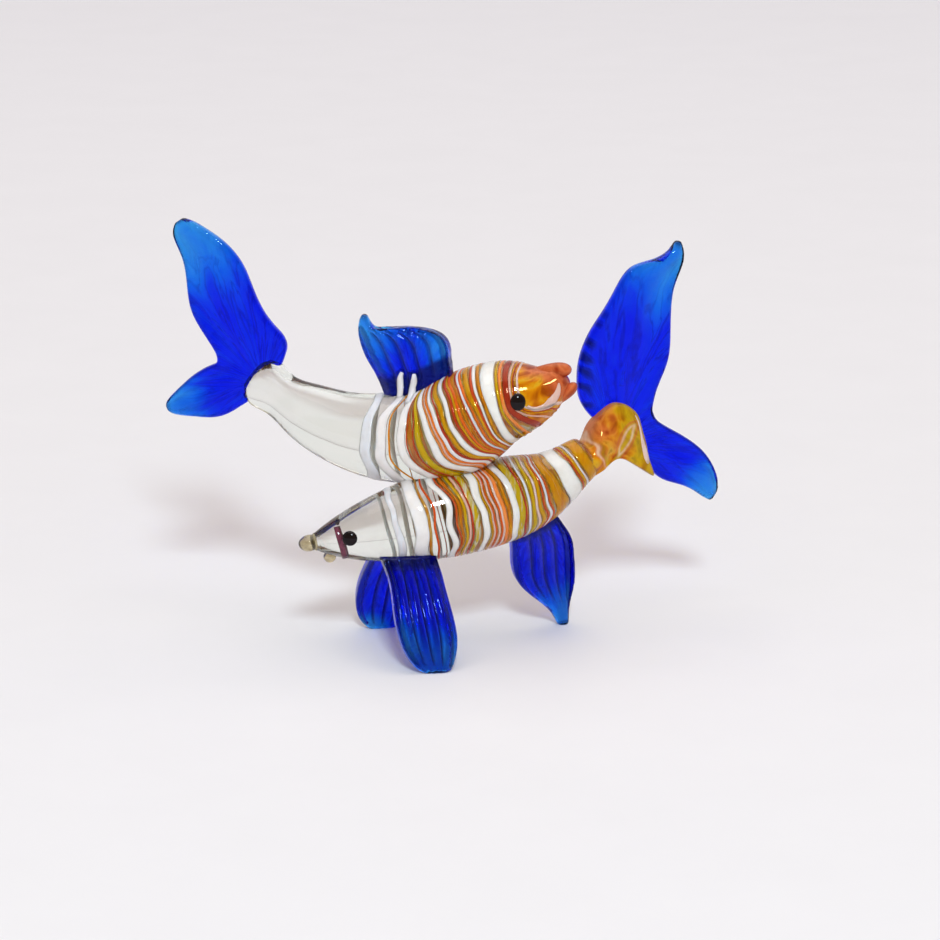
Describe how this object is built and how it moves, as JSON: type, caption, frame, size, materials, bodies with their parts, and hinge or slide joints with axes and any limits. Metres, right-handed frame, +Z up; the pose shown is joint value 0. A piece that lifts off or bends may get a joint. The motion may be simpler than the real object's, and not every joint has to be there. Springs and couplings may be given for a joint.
{
  "type": "glass fish figurine",
  "caption": "Solid glass ornament of striped fish fused back to belly and swimming opposite ways, standing on their blue fins.",
  "frame": {"origin": "on the surface that the feet stand on, under the middle of the bounding box", "axes": "+X along the pair, from the lower fish's head to its tail; +Y to the far side; +Z up"},
  "size_m": [0.1234, 0.0494, 0.0925],
  "materials": {
    "clear_glass": "fire-polished",
    "amber_glass": "fire-polished",
    "white_glass": "fire-polished",
    "red_glass": "fire-polished",
    "black_glass": "fire-polished",
    "plum_glass": "fire-polished",
    "blue_glass": "fire-polished"
  },
  "bodies": {
    "root": {"upper_body": "clear_glass", "lower_body": "clear_glass", "lower_top_lip": "clear_glass", "lower_bottom_lip": "clear_glass", "upper_snout": "amber_glass", "lower_tail_stock": "amber_glass", "upper_amber_bands": "amber_glass", "lower_amber_bands": "amber_glass", "upper_top_lip": "amber_glass", "upper_bottom_lip": "amber_glass", "upper_white_bands": "white_glass", "lower_white_bands": "white_glass", "upper_red_bands": "red_glass", "lower_red_bands": "red_glass", "upper_near_eye": "black_glass", "upper_far_eye": "black_glass", "lower_near_eye": "black_glass", "lower_far_eye": "black_glass", "lower_snout_band": "plum_glass", "upper_dorsal_fin": "blue_glass", "upper_tail_fin": "blue_glass", "lower_tail_fin": "blue_glass", "lower_near_pectoral_fin": "blue_glass", "lower_far_pectoral_fin": "blue_glass", "lower_anal_fin": "blue_glass"}
  },
  "joints": []
}
